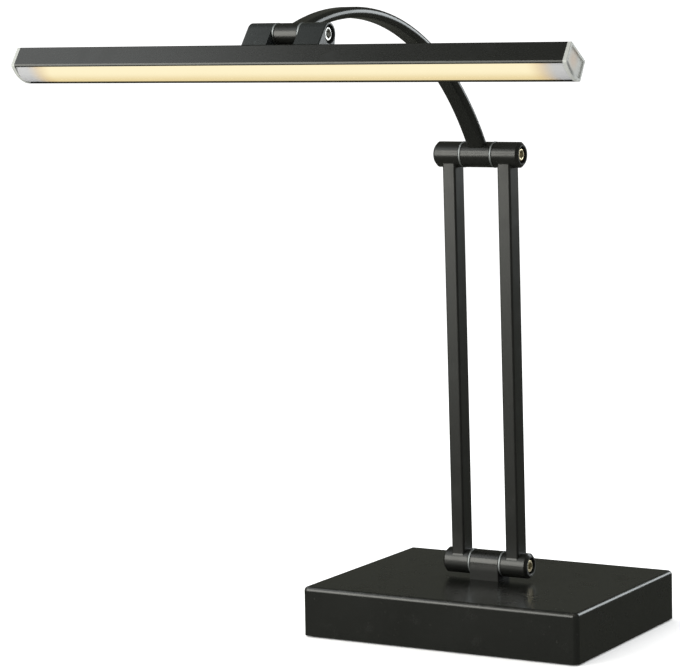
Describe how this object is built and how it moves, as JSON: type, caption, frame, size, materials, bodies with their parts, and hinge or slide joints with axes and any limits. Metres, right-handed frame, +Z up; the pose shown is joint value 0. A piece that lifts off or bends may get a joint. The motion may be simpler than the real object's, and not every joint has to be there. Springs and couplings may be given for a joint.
{
  "type": "piano lamp",
  "caption": "Black piano lamp: weighted rectangular base, post of flat bars between friction hinges, curved arm and a long linear light head with frosted end caps.",
  "frame": {"origin": "centre of the base underside, on the surface the lamp stands on", "axes": "+Z up; +X along the base and the head, to the right as seen from the front; the head reaches out over -Y, the front; the power socket and switch are in the rear face, +Y"},
  "size_m": [0.3516, 0.3232, 0.3929],
  "materials": {
    "black_steel": "satin",
    "black_aluminium": "satin powder coat",
    "cast_iron": "matt grey primer",
    "sheet_steel": "zinc plated",
    "felt": "matt",
    "bright_steel": "bright",
    "yellow_zinc": "yellow passivated",
    "chrome": "polished",
    "brass": "bright",
    "board_green": "solder resist",
    "board_white": "white solder resist",
    "component_black": "matt",
    "phosphor": "gloss",
    "opal": "opal, lit warm from inside",
    "frosted": "frosted",
    "black_plastic": "fine matt",
    "gloss_black": "gloss"
  },
  "bodies": {
    "base": {"base_housing": "black_steel", "base_weight": "cast_iron", "base_plate": "sheet_steel", "felt_pad": "felt", "plate_screws": "sheet_steel", "weight_screws": "sheet_steel", "knuckle_block": "black_steel", "knuckle_screws": "sheet_steel", "board_pillars": "sheet_steel", "driver_board": "board_green", "driver_parts": "component_black", "board_screws": "sheet_steel", "power_socket": "black_plastic", "power_socket_pin": "brass", "power_socket_nut": "bright_steel", "switch_frame": "black_plastic"},
    "switch": {"switch_rocker": "gloss_black"},
    "post": {"lower_left_barrel": "black_steel", "lower_right_barrel": "black_steel", "left_bar": "black_steel", "right_bar": "black_steel", "upper_left_barrel": "black_steel", "upper_right_barrel": "black_steel", "lower_pivot_bolt": "yellow_zinc", "lower_pivot_nut": "bright_steel", "lower_washers": "bright_steel", "upper_pivot_bolt": "yellow_zinc", "upper_pivot_nut": "bright_steel", "upper_washers": "bright_steel"},
    "arm": {"arm_foot_barrel": "black_steel", "arm_tube": "black_steel", "arm_tip_barrel": "black_steel"},
    "head": {"left_lug": "black_aluminium", "right_lug": "black_aluminium", "lug_screws": "sheet_steel", "head_pivot_bolt": "chrome", "head_pivot_nut": "bright_steel", "head_washers": "bright_steel", "head_housing": "black_aluminium", "led_strip": "board_white", "led_chips": "phosphor", "diffuser": "opal", "left_end_cap": "frosted", "right_end_cap": "frosted"}
  },
  "joints": [
    {"name": "post_tilt", "type": "hinge", "parent": "base", "child": "post", "pos_m": [0, 0, 0.0423], "axis": [1, 0, 0], "range_deg": [-80, 45]},
    {"name": "arm_swing", "type": "hinge", "parent": "post", "child": "arm", "pos_m": [0, -0.00518, 0.30035], "axis": [1, 0, 0], "range_deg": [-90, 75]},
    {"name": "head_tilt", "type": "hinge", "parent": "arm", "child": "head", "pos_m": [0, -0.22947, 0.37845], "axis": [1, 0, 0], "range_deg": [-90, 50]},
    {"name": "switch_press", "type": "hinge", "parent": "base", "child": "switch", "pos_m": [0.058, 0.07065, 0.0216], "axis": [0, 0, 1], "range_deg": [-16, 0]}
  ]
}
